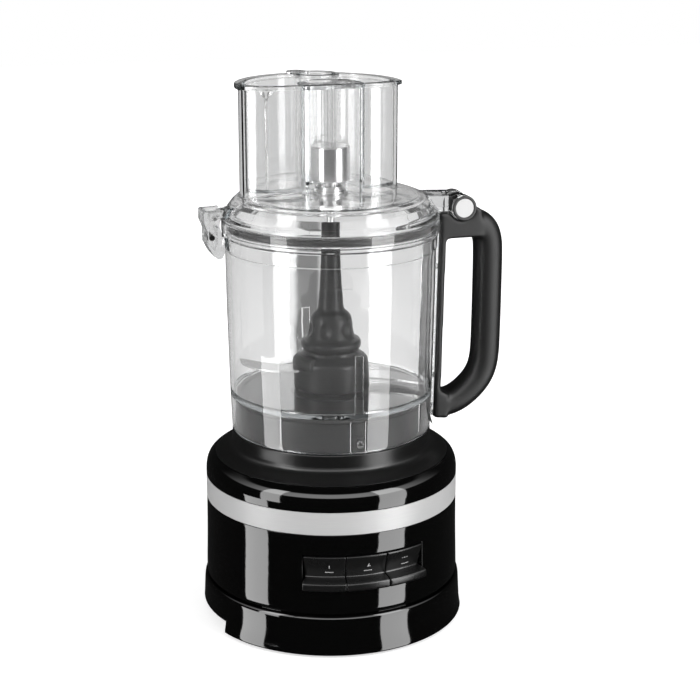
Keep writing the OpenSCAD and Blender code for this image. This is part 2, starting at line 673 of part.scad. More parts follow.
// Everything the outside of the bowl encloses.
module bowl_outer() {
  rotate_extrude() polygon(concat([[0, bowl_z]], smooth(bowl_line, 3),
    [[bowl_r + 0.9, rim_z - 23.6], [bowl_r + 1.2, rim_z - 13],
     [bowl_r + 2.4, rim_z - 11], [bowl_r + 2.7, rim_z - 9.5],
     [bowl_r + 2.7, rim_z - 0.6], [bowl_r + 2.1, rim_z], [0, rim_z]]));
}
module bowl() {
  color(c_clear) difference() {
    union() {
      difference() {
        union() {
          bowl_outer();
          side_plate(mount_line, 22);
          side_plate(lug_line, 18);
        }
        rotate_extrude() polygon(concat([[0, inside_z]],
          [[bowl_r - 3.3 - bowl_t, inside_z]],
          [[bowl_r - 1.9 - bowl_t, inside_z + 2.4]],
          [[bowl_r - 0.5 - bowl_t, bowl_z + 108]],
          [[bowl_r - 0.2 - bowl_t, seat_z], [bowl_r + 0.4, seat_z + 1]],
          [[bowl_r + 0.4, rim_z + 5], [0, rim_z + 5]]));
        translate([0, 0, bowl_z - 5])
          cylinder(r = bowl_r - 3.5 - bowl_t + 0.3, h = bfloor_z - bowl_z + 5);
      }
      translate([0, 0, bfloor_z]) cylinder(r = chimney_r, h = 46);
      for (a = [0, 180]) rotate([0, 0, a])
        translate([-3.2, bowl_r - 5.6, inside_z - 1]) cube([6.4, 3.2, 49]);
      for (a = [44, 136, 224, 316]) rotate([0, 0, a])
        translate([bowl_r - 6.3, -0.8, bowl_z + 4]) cube([2.4, 1.6, 24]);
      translate([-6.6, -bowl_r + 4, bowl_z + 0.2]) cube([1.2, 2.6, 25]);
      translate([5.4, -bowl_r + 4, bowl_z + 0.2]) cube([1.2, 2.6, 25]);
    }
    translate([0, 0, bfloor_z - 5]) cylinder(r = chimney_in, h = 70);
    for (z = screw_zs) translate([strip_x(z) + 3.5 - screw_len - 0.3, 0, z])
      rotate([0, 90, 0]) cylinder(r = 1.98, h = 20);
  }
}
// Grip path in the XZ plane, from the top block round to the bottom one.
grip_path = smooth(concat(
  shift([[4.2, -11.4], [13.2, -11.2], [21.6, -15.6], [25.8, -25],
    [26.8, -38], [26.8, -65], [26.5, -98]], hinge_x, rim_z),
  shift([[25.4, 49], [20, 33], [8.2, 20.4], [-4.3, 13.6],
    [-17.8, 11.6]], hinge_x, grip_z)), 3);
function cut_pts(n) = [for (i = [0:n - 1]) let (t = 360 * i / n)
  [grip_t / 2 * sgn(cos(t)) * pow(abs(cos(t)), 0.72),
   grip_w / 2 * sgn(sin(t)) * pow(abs(sin(t)), 0.72)]];
module sweep(path, cut) {
  n = len(path);
  m = len(cut);
  dirs = [for (i = [0:n - 1]) let (d = path[min(i + 1, n - 1)]
    - path[max(i - 1, 0)]) d / norm(d)];
  pts = [for (i = [0:n - 1], c = cut)
    [path[i][0] - c[0] * dirs[i][1], c[1], path[i][1] + c[0] * dirs[i][0]]];
  walls = [for (i = [0:n - 2], j = [0:m - 1]) for (t = [0, 1])
    let (a = i * m + j, b = i * m + (j + 1) % m)
    t == 0 ? [a, b, b + m] : [a, b + m, a + m]];
  ends = [[for (j = [m - 1:-1:0]) j], [for (j = [0:m - 1]) (n - 1) * m + j]];
  polyhedron(points = pts, faces = concat(walls, ends));
}
top_block = concat([[strip_x(rim_z - 0.4), rim_z - 0.4]],
  shift([[-9.8, -0.8], [-9.8, 0.4], [11.6, 3.2], [17.2, 0.6],
    [17.2, -22.4]], hinge_x, rim_z),
  [[strip_x(rim_z - 22.4), rim_z - 22.4]]);
foot_block = concat([[strip_x(grip_z + 5), grip_z + 5]],
  shift([[1.7, 2.2], [13.3, 1.2], [13.3, 22.6], [9.3, 24], [6.9, 27]],
    bowl_r, grip_z),
  [[strip_x(grip_z + 27), grip_z + 27]]);
strip = [[strip_x(grip_z + 5), grip_z + 5],
  [strip_x(rim_z - 0.4), rim_z - 0.4], [bowl_r + 10.4, rim_z - 0.4],
  [bowl_r + 6.6, grip_z + 5]];
module handle() {
  color(c_matte) difference() {
    union() {
      side_plate(top_block, grip_w);
      side_plate(foot_block, grip_w);
      side_plate(strip, grip_w);
      sweep(grip_path, cut_pts(20));
      y_rod(hinge_x, hinge_z, barrel_r - 0.6, knuckle_w);
      side_plate([[hinge_x - 9, hinge_z - 4], [hinge_x + 9, hinge_z - 4],
        [hinge_x + 9, rim_z - 16], [hinge_x - 9, rim_z - 16]], knuckle_w);
    }
    for (s = [-1, 1]) translate([0, s * (knuckle_w + 40) / 2, 0])
      y_rod(hinge_x, hinge_z, seat_r, 40);
    y_rod(hinge_x, hinge_z, pin_d / 2 + run_fit, 60);
    for (z = screw_zs) translate([strip_x(z) + 3.5, 0, z])
      rotate([0, 90, 0]) {
        translate([0, 0, -9]) cylinder(r = 2.3, h = 12);
        cylinder(r = 4.3, h = 12);
      }
  }
}
module handle_screws() {
  color(c_steel) for (z = screw_zs) translate([strip_x(z) + 3.5, 0, z])
    rotate([0, -90, 0]) screw(3.9, screw_len, 7.8, 2.2);
}

// --------------------------------------------------------------- blade
blade_r = bowl_r - 3.3 - bowl_t - tip_gap;
hub_z = inside_z + 1.6;
stem_line = [[hub_r, hub_z], [hub_r, hub_z + 21], [hub_r - 0.6, hub_z + 23.4],
  [hub_r - 3.4, hub_z + 26.4], [23.2, hub_z + 28.4], [22.8, hub_z + 31.6],
  [24.2, hub_z + 33.6], [24.8, hub_z + 36.4], [24.2, hub_z + 38.8],
  [20.8, hub_z + 40.4], [19.2, hub_z + 42], [18, hub_z + 47],
  [17.4, hub_z + 53], [16.5, hub_z + 58], [14.7, hub_z + 61.4],
  [12.2, hub_z + 63.6], [10.8, hub_z + 65], [10.4, hub_z + 68],
  [9.2, hub_z + 82], [8, hub_z + 104],
  [7.6, rim_z - 12], [6.6, rim_z - 9.6], [5, rim_z - 8.8]];
// Plan of one curved blade that points along +X.
sweep_a = 42;
function blade_mid(t) = [cos(sweep_a * (1 - t)) * (24 + (blade_r - 25) * t),
  sin(sweep_a * (1 - t)) * (24 + (blade_r - 25) * t)];
blade_n = 14;
blade_pts = concat([for (i = [0:blade_n]) let (t = i / blade_n,
    w = 11.5 * pow(1 - pow(t, 2.2), 0.6) + 0.6, p = blade_mid(t))
    [p[0] + w * 0.35, p[1] + w * 0.9]],
  [for (i = [blade_n:-1:0]) let (t = i / blade_n,
    w = 11.5 * pow(1 - pow(t, 2.2), 0.6) + 0.6, p = blade_mid(t))
    [p[0] - w * 0.2, p[1] - w * 0.9]]);
module blade_shape(a, z) {
  rotate([0, 0, a]) translate([0, 0, z]) linear_extrude(blade_t)
    intersection() {
      polygon(blade_pts);
      circle(r = blade_r);
    }
}
low_z = hub_z + 3.2;
high_z = hub_z + 17.4;
low_a = -24;
high_a = low_a + 180;
module blade_hub() {
  color(c_matte) difference() {
    union() {
      rotate_extrude() polygon(concat([[0, hub_z]], stem_line,
        [[0, rim_z - 8.8]]));
      // Boss that clamps the root of the upper blade.
      rotate([0, 0, high_a + 12]) rotate_extrude(angle = sweep_a + 14)
        polygon([[20, high_z + blade_t - 0.1],
          [hub_r + 1, high_z + blade_t - 0.1], [hub_r + 1.2, high_z + 5],
          [hub_r, high_z + 8.4], [hub_r - 3, high_z + 10.6],
          [20, high_z + 11.6]]);
    }
    // Dimples round the dome, to turn the hub by hand.
    for (a = [0:60:300]) rotate([0, 0, a])
      translate([24.6, 0, hub_z + 50]) sphere(r = 9.2);
    translate([0, 0, hub_z - 5]) cylinder(r = chimney_r + 0.7,
      h = bfloor_z + 47 - hub_z + 5);
    rotate_extrude() polygon([[0, hub_z - 1], [hub_r - 2.6, hub_z - 1],
      [hub_r - 3, hub_z + 2], [chimney_r, hub_z + 2], [0, hub_z + 2]]);
    intersection() {
      cylinder(d = shaft_d + 0.5, h = shaft_top + 1);
      translate([-4.7, -20, 0]) cube([9.4, 40, 600]);
    }
    cylinder(d = shaft_d + 0.5, h = shaft_top - 20 + 0.6);
    translate([0, 0, rim_z - 24]) cylinder(r = 3.2, h = 30);
    blade_shape(low_a, low_z);
    blade_shape(high_a, high_z);
  }
}
module lower_blade() { color(c_steel) blade_ring(low_a, low_z); }
module upper_blade() { color(c_steel) blade_ring(high_a, high_z); }
// The blade without what would reach into the chimney bore.
module blade_ring(a, z) {
  difference() {
    blade_shape(a, z);
    translate([0, 0, z - 1]) cylinder(r = chimney_r + 0.7, h = 5);
  }
}
module stem_pin() {
  color(c_steel) translate([0, 0, rim_z - 24]) {
    cylinder(r = 3.2, h = 30);
    translate([0, 0, 30]) cylinder(r1 = 3.2, r2 = 2.2, h = 1);
  }
}

// ----------------------------------------------------------------- lid
lid_line = [[bowl_r + 2.4, lid_z], [bowl_r + 2.9, lid_z + 0.5],
  [bowl_r + 2.9, lid_z + 2.2], [bowl_r - 0.2, lid_z + 5.2],
  [bowl_r - 2.1, lid_z + 8.4], [bowl_r - 5.2, lid_z + 12.5],
  [bowl_r - 9, lid_z + 16.2], [bowl_r - 14, lid_z + 18.2],
  [bowl_r - 22, lid_z + 19]];
arm_top = hinge_z + barrel_r - 0.4;
module lid_cover() {
  color(c_clear) difference() {
    union() {
      difference() {
        rotate_extrude() polygon(concat([[bowl_r - 0.8, lid_z]],
          lid_line, [[0, top_z]], [[0, top_z - 2.6]],
          [[bowl_r - 23, lid_z + 16.2], [bowl_r - 14.5, lid_z + 15.4],
           [bowl_r - 10, lid_z + 13.4], [bowl_r - 7, lid_z + 10],
           [bowl_r - 4.6, lid_z + 5], [bowl_r - 4.2, lid_z + 1],
           [bowl_r - 4.2, seat_z + 1.3], [bowl_r - 0.8, seat_z + 1.3],
           [bowl_r - 0.8, seat_z + 2.4], [bowl_r - 2.4, seat_z + 2.4],
           [bowl_r - 2.4, rim_z - 0.8], [bowl_r - 0.8, rim_z - 0.8]]));
        translate([0, 0, top_z - 30]) linear_extrude(60) tube_plan(0);
        translate([0, 0, top_z - 30]) cylinder(r = 11, h = 60);
      }
      // Hinge arm: a web that splits into two prongs and barrels.
      difference() {
        side_plate([[bowl_r - 12.7, lid_z + 13], [bowl_r - 4.7, lid_z + 3.4],
          [bowl_r + 1.3, lid_z + 1], [hinge_x, hinge_z - 3],
          [hinge_x, arm_top], [bowl_r - 8.7, arm_top + 1.4]], prong_w);
        rotate_extrude() polygon([[0, lid_z - 20], [bowl_r - 4.4, lid_z - 20],
          [bowl_r - 4.6, lid_z + 5], [bowl_r - 7, lid_z + 10],
          [bowl_r - 10, lid_z + 13.4], [0, lid_z + 13.4]]);
      }
      y_rod(hinge_x, hinge_z, barrel_r, barrel_w);
      // Latch arm with two ears.
      side_plate(shift([[6.7, 8], [0.7, 2], [-5.3, 4.6], [-14.9, 2.4],
        [-15.3, 8.6], [-5.3, 9.8], [4.7, 12]], -bowl_r, lid_z), 14);
    }
    translate([hinge_x - 11.6, -(knuckle_w + 0.8) / 2, lid_z - 20])
      cube([30, knuckle_w + 0.8, 60]);
    y_rod(hinge_x, hinge_z, pin_d / 2, 60);
    y_rod(latch_x, latch_pz, 1.7, 40);
    for (s = [-1, 1]) translate([0, s * barrel_w / 2, 0])
      y_rod(hinge_x, hinge_z, barrel_r - 1.6, 3);
  }
}
module lid_seal() {
  color(c_rubber) rotate_extrude() polygon([
    [bowl_r - 2.4, seat_z + 2.6], [bowl_r - 0.9, seat_z + 2.6],
    [bowl_r - 0.3, seat_z + 3.8], [bowl_r - 0.8, seat_z + 5.4],
    [bowl_r - 0.3, seat_z + 7], [bowl_r - 0.9, rim_z - 1],
    [bowl_r - 2.4, rim_z - 1]]);
}
// Clear post that carries the chrome cap above the stem.
post_z = rim_z + 1.5;
cap_z = rim_z + 29.4;
cap_h = 27.4;
module hub_post() {
  color(c_clear) difference() {
    union() {
      rotate_extrude() polygon([[6.8, post_z], [8.4, post_z],
        [9.4, post_z + 8], [10.9, top_z - 4], [10.9, top_z + 0.1],
        [14, top_z + 0.1], [14, top_z + 2], [12.4, top_z + 2.4],
        [12.4, cap_z + 14], [10.6, cap_z + 14], [10.6, top_z - 1],
        [9.2, top_z - 5], [6.8, post_z + 9]]);
    }
    for (a = [20:90:290]) rotate([0, 0, a])
      translate([8, -4, cap_z - 6.4]) cube([8, 8, 4.6]);
  }
}
module hub_cap() {
  color(c_steel) difference() {
    rotate_extrude() polygon([[12.45, cap_z], [cap_r - 0.2, cap_z],
      [cap_r, cap_z + 0.4], [cap_r, cap_z + cap_h - 1],
      [cap_r - 0.3, cap_z + cap_h - 0.3], [cap_r - 1, cap_z + cap_h],
      [0, cap_z + cap_h], [0, cap_z + cap_h - 2],
      [cap_r - 2, cap_z + cap_h - 2.4], [cap_r - 2, cap_z + 15],
      [12.45, cap_z + 15]]);
  }
}
// Steel bush that steadies the stem's pin.
module hub_bush() {
  color(c_steel) difference() {
    union() {
      translate([0, 0, post_z + 0.4]) cylinder(r = 6.8, h = 8.6);
      translate([0, 0, post_z + 9]) cylinder(r1 = 6.8, r2 = 9.1,
        h = top_z - 5 - post_z - 9);
      translate([0, 0, top_z - 1]) cylinder(r = 10.6, h = 6);
      translate([0, 0, post_z + 9]) cylinder(r = 6.6, h = cap_z - post_z);
    }
    translate([0, 0, post_z - 5]) cylinder(r = 4.7, h = 15);
  }
}
module feed_tube() {
  color(c_clear) difference() {
    union() {
      translate([0, 0, chute_z]) linear_extrude(tube_top - chute_z)
        tube_plan(0);
    }
    translate([0, 0, top_z - 20]) linear_extrude(200) tube_plan(-tube_t);
  }
}
module hinge_pin() {
  color(c_steel) y_rod(hinge_x, hinge_z, pin_d / 2, barrel_w - 3);
}
module hinge_caps() {
  color(c_silver) for (s = [-1, 1])
    translate([0, s * (barrel_w / 2 - 0.55), 0])
      y_rod(hinge_x, hinge_z, barrel_r - 1.7, 1.9);
}
// Latch: a hollow tab that hangs outside the bowl's lug.
latch_line = [[6.9, 11.2], [-8.1, 10.6], [-8.9, 8.6], [-8.7, 2], [-5.9, -5],
  [-5.9, -16], [-1.5, -24.6], [1.9, -27], [5.1, -26.6], [7.1, -23],
  [7.75, -19.4], [7, -17.2], [5.1, -14], [4.9, -6], [3.5, -1.2],
  [3.7, 2.2]];
module latch() {
  color(c_clear) difference() {
    side_plate(shift(latch_line, latch_x, rim_z), 24);
    side_plate(shift([[16.5, -3], [-3.5, -3], [-5.5, 2], [-5.4, 20],
      [16.5, 20]], latch_x, rim_z), 15);
    side_plate(shift([[-4.5, -2.9], [-4.5, -15], [-0.1, -21], [2.3, -15],
      [2.3, -2.9]], latch_x, rim_z), 15);
    y_rod(latch_x, latch_pz, 1.5 + run_fit, 40);
  }
}
module latch_pin() {
  color(c_steel) y_rod(latch_x, latch_pz, 1.5, 23);
}
module latch_spring() {
  color(c_rubber) y_rod(latch_x - 2, rim_z - 10.5, 2.2, 15);
}

// Rib inside the large pusher's wall, with a gusset under the flange.
module key_rib(inset) {
  translate([tube_x - tube_r - 6 + tube_corner, tube_corner - tube_front, 0])
    rotate([0, 0, -110]) translate([tube_corner - inset, 0, 0]) {
      translate([-1.2, -0.6, 0]) cube([3, 1.2, tube_top]);
      translate([0, 0, tube_top - 6]) cylinder(r1 = 0.8, r2 = 6.4, h = 6);
    }
}

// -------------------------------------------------------------- pushers
push_z = top_z + 2.5;
tab_l = food_r + 9;
tab_w = 15;
module large_pusher() {
  d1 = -tube_t - pusher_gap;
  d2 = d1 - 2;
  color(c_clear) difference() {
    union() {
      translate([0, 0, push_z]) linear_extrude(tube_top - push_z + 1)
        tube_plan(d1);
      translate([0, 0, tube_top + 0.3]) linear_extrude(flange_t)
        tube_outline(3);
    }
    difference() {
      translate([0, 0, push_z + 2.4]) linear_extrude(200) tube_plan(d2);
      translate([food_x, food_y, 0]) cylinder(r = food_r + 2, h = 600);
      key_rib(-d2);
    }
    translate([food_x, food_y, 0]) cylinder(r = food_r, h = 600);
  }
}
module small_pusher() {
  z1 = tube_top + 0.3 + flange_t + 0.3;
  color(c_clear) difference() {
    union() {
      translate([food_x, food_y, push_z + 1])
        cylinder(r = food_r - small_gap, h = z1 - push_z);
      translate([food_x, food_y, z1]) cylinder(r = food_r + 3.6, h = 2.4);
      translate([food_x, food_y, z1]) rotate([0, 0, 120]) {
        translate([0, -tab_w / 2, 0]) cube([tab_l, tab_w, 2.4]);
        translate([tab_l, 0, 0]) cylinder(d = tab_w, h = 2.4);
      }
    }
    translate([food_x, food_y, push_z + 3.4])
      cylinder(r = food_r - small_gap - 1.8, h = 200);
  }
}

bottom_tray();
foot_ring();
cover_screws();
base_housing();
trim_band();
base_shoulder();
base_deck();
deck_screws();
button_frame();
frame_screws();
button_pins();
button_1();
button_2();
button_pulse();
switches();
control_board();
board_screws();
cord_gland();
motor_plate();
plate_screws();
motor_can();
motor_shaft();
motor_pulley();
cooling_fan();
drive_belt();
lower_bearing();
upper_bearing();
drive_shaft();
drive_pulley();
bowl();
handle();
handle_screws();
blade_hub();
upper_blade();
lower_blade();
stem_pin();
lid_cover();
lid_seal();
hub_post();
hub_cap();
hub_bush();
feed_tube();
hinge_pin();
hinge_caps();
latch();
latch_pin();
latch_spring();
large_pusher();
small_pusher();
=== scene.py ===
# %% [markdown]
# # A food processor in clear plastic and gloss black
#
# The CAD frame already holds every part at its real size and place. This
# lesson dresses it: each part gets a finish built from shader nodes, its
# sharp edges are rounded, small printed marks are modelled on top, and a
# studio of strip lamps and a white sweep shows it. All lengths are in
# metres, Z is up, the buttons face -Y and the handle is on +X.

# %% Load the frame
from math import cos, pi, radians, sin
import bmesh
import bpy
from mathutils import Matrix, Vector


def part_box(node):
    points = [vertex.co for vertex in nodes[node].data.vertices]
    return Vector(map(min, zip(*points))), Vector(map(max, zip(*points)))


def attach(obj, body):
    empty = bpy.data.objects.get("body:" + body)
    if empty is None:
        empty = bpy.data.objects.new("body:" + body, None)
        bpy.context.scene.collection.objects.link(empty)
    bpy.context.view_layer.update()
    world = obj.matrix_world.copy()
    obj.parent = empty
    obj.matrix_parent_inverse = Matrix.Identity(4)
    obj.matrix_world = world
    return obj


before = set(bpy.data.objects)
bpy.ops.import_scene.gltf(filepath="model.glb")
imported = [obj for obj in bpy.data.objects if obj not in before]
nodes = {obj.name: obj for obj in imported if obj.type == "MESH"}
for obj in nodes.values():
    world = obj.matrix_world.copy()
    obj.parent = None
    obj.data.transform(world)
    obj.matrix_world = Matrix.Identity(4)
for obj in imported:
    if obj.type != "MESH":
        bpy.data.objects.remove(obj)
scene = bpy.context.scene
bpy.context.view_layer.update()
bpy.ops.object.select_all(action="DESELECT")

# %% [markdown]
# ## The camera
#
# A camera close by would lean the sides of the base and open the rim of the
# bowl to a wide ellipse. A long lens from well back keeps the sides upright
# and the rim slim, as a maker shows a kitchen machine, so it stands about
# 1.5 m away. It is a little to the left and looks down at the buttons.

# %% Camera
camera_turn = -16.3
camera_dip = 15.95
camera_data = bpy.data.cameras.new("camera")
camera_data.lens = 88.9
camera_data.clip_end = 50
camera = bpy.data.objects.new("camera", camera_data)
camera.location = (-0.3663, -1.3081, 0.6117)
camera.rotation_euler = (radians(90 - camera_dip), 0, radians(camera_turn))
scene.collection.objects.link(camera)
scene.camera = camera
print("camera:", round(camera_data.lens, 1), "mm lens,",
      round(camera.location.length, 2), "m away")

# %% [markdown]
# ## Writing shader maths as Python
#
# A node tree is a sum written in boxes. It could be drawn by hand in the
# editor, but a formula is shorter and shows what is worked out. So a small
# class wraps a socket, and `0.3 + 0.1 * grain` adds the two Math nodes by
# itself. Every other node comes from one method, which takes the node's
# type, its settings and what goes into its sockets.

# %% Shader helpers
class Value:
    """A socket whose numbers can be added and multiplied in Python."""

    def __init__(self, shading, socket):
        self.shading = shading
        self.socket = socket

    def math(self, operation, first, second):
        return self.shading.node("ShaderNodeMath", {"operation": operation},
                                 {0: first, 1: second})

    def __add__(self, other):
        return self.math("ADD", self, other)

    __radd__ = __add__

    def __mul__(self, other):
        return self.math("MULTIPLY", self, other)

    __rmul__ = __mul__

    def __sub__(self, other):
        return self.math("SUBTRACT", self, other)

    def __rsub__(self, other):
        return self.math("SUBTRACT", other, self)


class Shading:
    """A node tree, of a material or of the world."""

    def __init__(self, tree):
        self.tree = tree

    def put(self, socket, value):
        if isinstance(value, Value):
            self.tree.links.new(value.socket, socket)
        elif socket.type == "RGBA" and not hasattr(value, "__len__"):
            socket.default_value = (value, value, value, 1)
        elif socket.type == "RGBA" and len(value) == 3:
            socket.default_value = (*value, 1)
        else:
            socket.default_value = value

    def node(self, kind, settings=None, sockets=None, out=0):
        made = self.tree.nodes.new(kind)
        for key, value in (settings or {}).items():
            setattr(made, key, value)
        for key, value in (sockets or {}).items():
            self.put(made.inputs[key], value)
        return Value(self, made.outputs[out])

    def ray(self, kind):
        """1 where the ray is a Camera, Glossy, Transmission or Shadow one."""
        return self.node("ShaderNodeLightPath", out="Is %s Ray" % kind)

    def smooth(self, value, low, high, start=0.0, end=1.0):
        """Goes softly from start, at low, to end, at high."""
        return self.node("ShaderNodeMapRange",
                         {"interpolation_type": "SMOOTHSTEP"},
                         {"Value": value, "From Min": low, "From Max": high,
                          "To Min": start, "To Max": end})


class Finish(Shading):
    """A material with one Principled shader and the nodes that feed it."""

    def __init__(self, name, **sockets):
        self.material = bpy.data.materials.new(name)
        self.material.use_nodes = True
        super().__init__(self.material.node_tree)
        self.shader = self.tree.nodes["Principled BSDF"]
        for socket, value in sockets.items():
            self.set(socket.replace("_", " "), value)

    def set(self, name, value):
        self.put(self.shader.inputs[name], value)

    def place(self):
        """The point on the object, in metres."""
        return self.node("ShaderNodeTexCoord", out="Object")

    def axis(self, letter):
        return self.node("ShaderNodeSeparateXYZ", None, {0: self.place()}, out=letter)

    def noise(self, size, detail=2.0, stretch=(1, 1, 1)):
        """Noise whose blobs are about size metres across, from 0 to 1."""
        spot = self.node("ShaderNodeMapping", None,
                         {"Vector": self.place(), "Scale": stretch})
        return self.node("ShaderNodeTexNoise", None,
                         {"Vector": spot, "Scale": 1 / size, "Detail": detail})

    def bump(self, height, depth):
        """A normal that follows height, which is depth metres at 1."""
        self.set("Normal", self.node("ShaderNodeBump", None,
                                     {"Distance": depth, "Height": height}))


def dress(finish, *names):
    """Gives CAD nodes a finish in place of the plain one they came with."""
    for name in names:
        nodes[name].data.materials.clear()
        nodes[name].data.materials.append(finish.material)
    print(finish.material.name, "is on", ", ".join(names))


# %% [markdown]
# ## Gloss black
#
# The housings are moulded in black and polished like a piano. One colour
# with one roughness would give them a mirror too perfect to be real. So a
# broad, very faint waviness lies under the gloss, and the roughness varies a
# little, as handling leaves a haze.

# %% Gloss black housings
gloss = Finish("gloss_black", Base_Color=0.0012, IOR=1.5)
gloss.set("Roughness", 0.04 + 0.03 * gloss.noise(0.02, 3))
gloss.bump(gloss.noise(0.03, 1), 0.00002)
dress(gloss, "bottom_tray", "base_housing", "base_shoulder")

# %% [markdown]
# ## Satin and matte black
#
# The deck, the paddles, the handle and the blade's stem are moulded in the
# same black, in tools with a fine spark-eroded grain. The grain is finer
# than a hair, so it isn't modelled: a bump of small noise scatters the light
# into soft bands. The rubber, the seal and the parts inside the base are made
# the same way with other values.

# %% Grained blacks
def grained(name, shade, rough, grain, depth, shine=0.5):
    """A moulded black whose grain is grain metres across and depth deep."""
    finish = Finish(name, Base_Color=shade, IOR=1.5, Specular_IOR_Level=shine)
    finish.set("Roughness", rough + 0.08 * finish.noise(0.012, 2))
    finish.bump(finish.noise(grain, 4), depth)
    return finish


deck_black = grained("deck_black", 0.006, 0.26, 0.0005, 0.00001, 0.36)
paddle_black = grained("paddle_black", 0.006, 0.24, 0.0004, 0.00001)
handle_black = grained("handle_black", 0.006, 0.4, 0.0006, 0.00002, 0.35)
stem_black = grained("stem_black", 0.006, 0.3, 0.0006, 0.00002, 0.25)
frame_black = grained("frame_black", 0.004, 0.5, 0.0006, 0.00002)
rubber = grained("rubber_black", 0.01, 0.6, 0.0008, 0.00004)
seal = grained("seal_black", 0.01, 0.35, 0.001, 0.00001)
white = grained("switch_white", 0.7, 0.4, 0.001, 0.00001)
board = grained("board_green", (0.02, 0.12, 0.05), 0.3, 0.002, 0.00001)
dress(deck_black, "base_deck")
dress(paddle_black, "button_1", "button_2", "button_pulse")
dress(handle_black, "handle")
dress(stem_black, "blade_hub")
dress(frame_black, "button_frame", "drive_pulley", "cooling_fan")
dress(rubber, "foot_ring", "cord_gland", "drive_belt", "latch_spring")
dress(seal, "lid_seal")
dress(white, "switches")
dress(board, "control_board")

# %% [markdown]
# ## Metals
#
# The band is painted silver and rolled, so fine lines run around it. The
# cap over the hub is brushed and polished, and the blades are ground steel.
# An image of streaks would need a seam, but noise that is squeezed along one
# axis gives lines on any form, so each metal is that noise with its own
# squeeze.

# %% Metals
streak = 0.0006


def streaked(name, shade, rough, stretch, depth=0.00001, metal=1.0):
    """Metal with fine parallel streaks; stretch squeezes them to lines."""
    finish = Finish(name, Metallic=metal)
    lines = finish.noise(streak, 3, stretch)
    finish.set("Base Color", finish.node(
        "ShaderNodeMix", {"data_type": "RGBA"},
        {0: lines, 6: (shade * 0.86, shade * 0.86, shade * 0.87, 1),
         7: (shade, shade, shade * 0.99, 1)}, out=2))
    finish.set("Roughness", rough + 0.12 * lines)
    finish.bump(lines, depth)
    return finish


band_silver = streaked("band_silver", 0.56, 0.42, (0.04, 0.04, 1), 0.000004, 0.3)
chrome = streaked("chrome", 0.7, 0.18, (1, 1, 0.03), 0.000002, 0.85)
steel = streaked("steel", 0.62, 0.28, (1, 1, 0.06))
blade_steel = streaked("blade_steel", 0.55, 0.2, (1, 0.1, 1))
screw_steel = streaked("screw_steel", 0.5, 0.3, (1, 1, 1))
motor_steel = streaked("motor_steel", 0.4, 0.35, (1, 1, 0.1))
cap_silver = streaked("cap_silver", 0.5, 0.42, (1, 1, 1), 0.00001, 0.5)
dress(band_silver, "trim_band")
dress(chrome, "hub_cap")
dress(cap_silver, "hinge_caps")
dress(steel, "button_pins", "motor_plate", "motor_pulley", "lower_bearing",
      "upper_bearing", "drive_shaft", "stem_pin", "hub_bush", "hinge_pin",
      "latch_pin")
dress(blade_steel, "upper_blade", "lower_blade")
dress(screw_steel, "cover_screws", "deck_screws", "frame_screws",
      "board_screws", "plate_screws", "handle_screws")
dress(motor_steel, "motor_can", "motor_shaft")

# %% [markdown]
# ## Clear plastic
#
# The bowl, the lid and the pushers are moulded in clear plastic. A shader
# that bends all light would leave what is inside in the dark, because lamps
# don't reach through it without slow caustics. So only the rays that look
# meet the glass-like Principled shader, and shadow rays meet a plain
# transparent one. Absorption in the wall makes its thick edges a little
# darker than its faces. The latch is the same plastic with a frosted skin.

# %% Clear plastic
def clear_plastic(name, shade, rough):
    """A clear moulding that darkens a little with the way through it."""
    finish = Finish(name, Base_Color=shade, IOR=1.49, Transmission_Weight=1.0)
    finish.set("Roughness", rough + 0.01 * finish.noise(0.02, 2))
    through = finish.node("ShaderNodeBsdfTransparent", None, {"Color": 0.9})
    bent = Value(finish, finish.shader.outputs[0])
    surface = finish.node("ShaderNodeMixShader", None,
                          {0: finish.ray("Shadow"), 1: bent, 2: through})
    depth = finish.node("ShaderNodeVolumeAbsorption", None,
                        {"Color": (0.03, 0.08, 0.1), "Density": 6.0})
    output = finish.tree.nodes["Material Output"]
    finish.put(output.inputs["Surface"], surface)
    finish.put(output.inputs["Volume"], depth)
    return finish


clear = clear_plastic("clear", 0.97, 0.015)
frosted = clear_plastic("clear_frosted", 0.9, 0.16)
dress(clear, "bowl", "lid_cover", "hub_post", "feed_tube", "large_pusher",
      "small_pusher")
dress(frosted, "latch")

# %% [markdown]
# ## Rounded edges
#
# No moulding has a knife edge, and on gloss and clear plastic a fine bright
# line on each edge is what shows the form. Rounding every edge in the solids
# would take many faces, so modifiers do it here. The CAD nodes arrive as
# loose triangles, so they are welded first, and a narrow bevel then rounds
# each edge that turns sharply. Weighted normals keep the round walls smooth
# up to the bevels, which stops them from bending the view like a wavy pane.

# %% Rounded edges
sharp_turn = 14


def soften(width, *names):
    """Rounds the edges of CAD nodes that turn by more than sharp_turn degrees."""
    for name in names:
        piece = nodes[name]
        weld = piece.modifiers.new("weld", "WELD")
        weld.merge_threshold = 0.000002
        bevel = piece.modifiers.new("bevel", "BEVEL")
        bevel.width = width
        bevel.segments = 2
        bevel.limit_method = "ANGLE"
        bevel.angle_limit = radians(sharp_turn)
        bevel.use_clamp_overlap = False
        normals = piece.modifiers.new("normals", "WEIGHTED_NORMAL")
        normals.mode = "FACE_AREA_WITH_ANGLE"
        normals.weight = 100
    print("edges rounded by", width, "m on", ", ".join(names))


soften(0.0005, "bowl", "lid_cover", "feed_tube", "large_pusher", "small_pusher")
soften(0.0004, "bottom_tray", "base_housing", "base_shoulder", "base_deck", "hub_cap")
soften(0.0006, "button_1", "button_2", "button_pulse")

# %% [markdown]
# ## Flowing mouldings
#
# The handle and the blade's stem are thick mouldings whose forms flow into
# each other. Sculpting could do that, but it wouldn't be the same in each
# run. So their meshes are rebuilt from small cubes and relaxed, which melts
# the grip into the blocks at its two ends and the blade's boss into the stem.

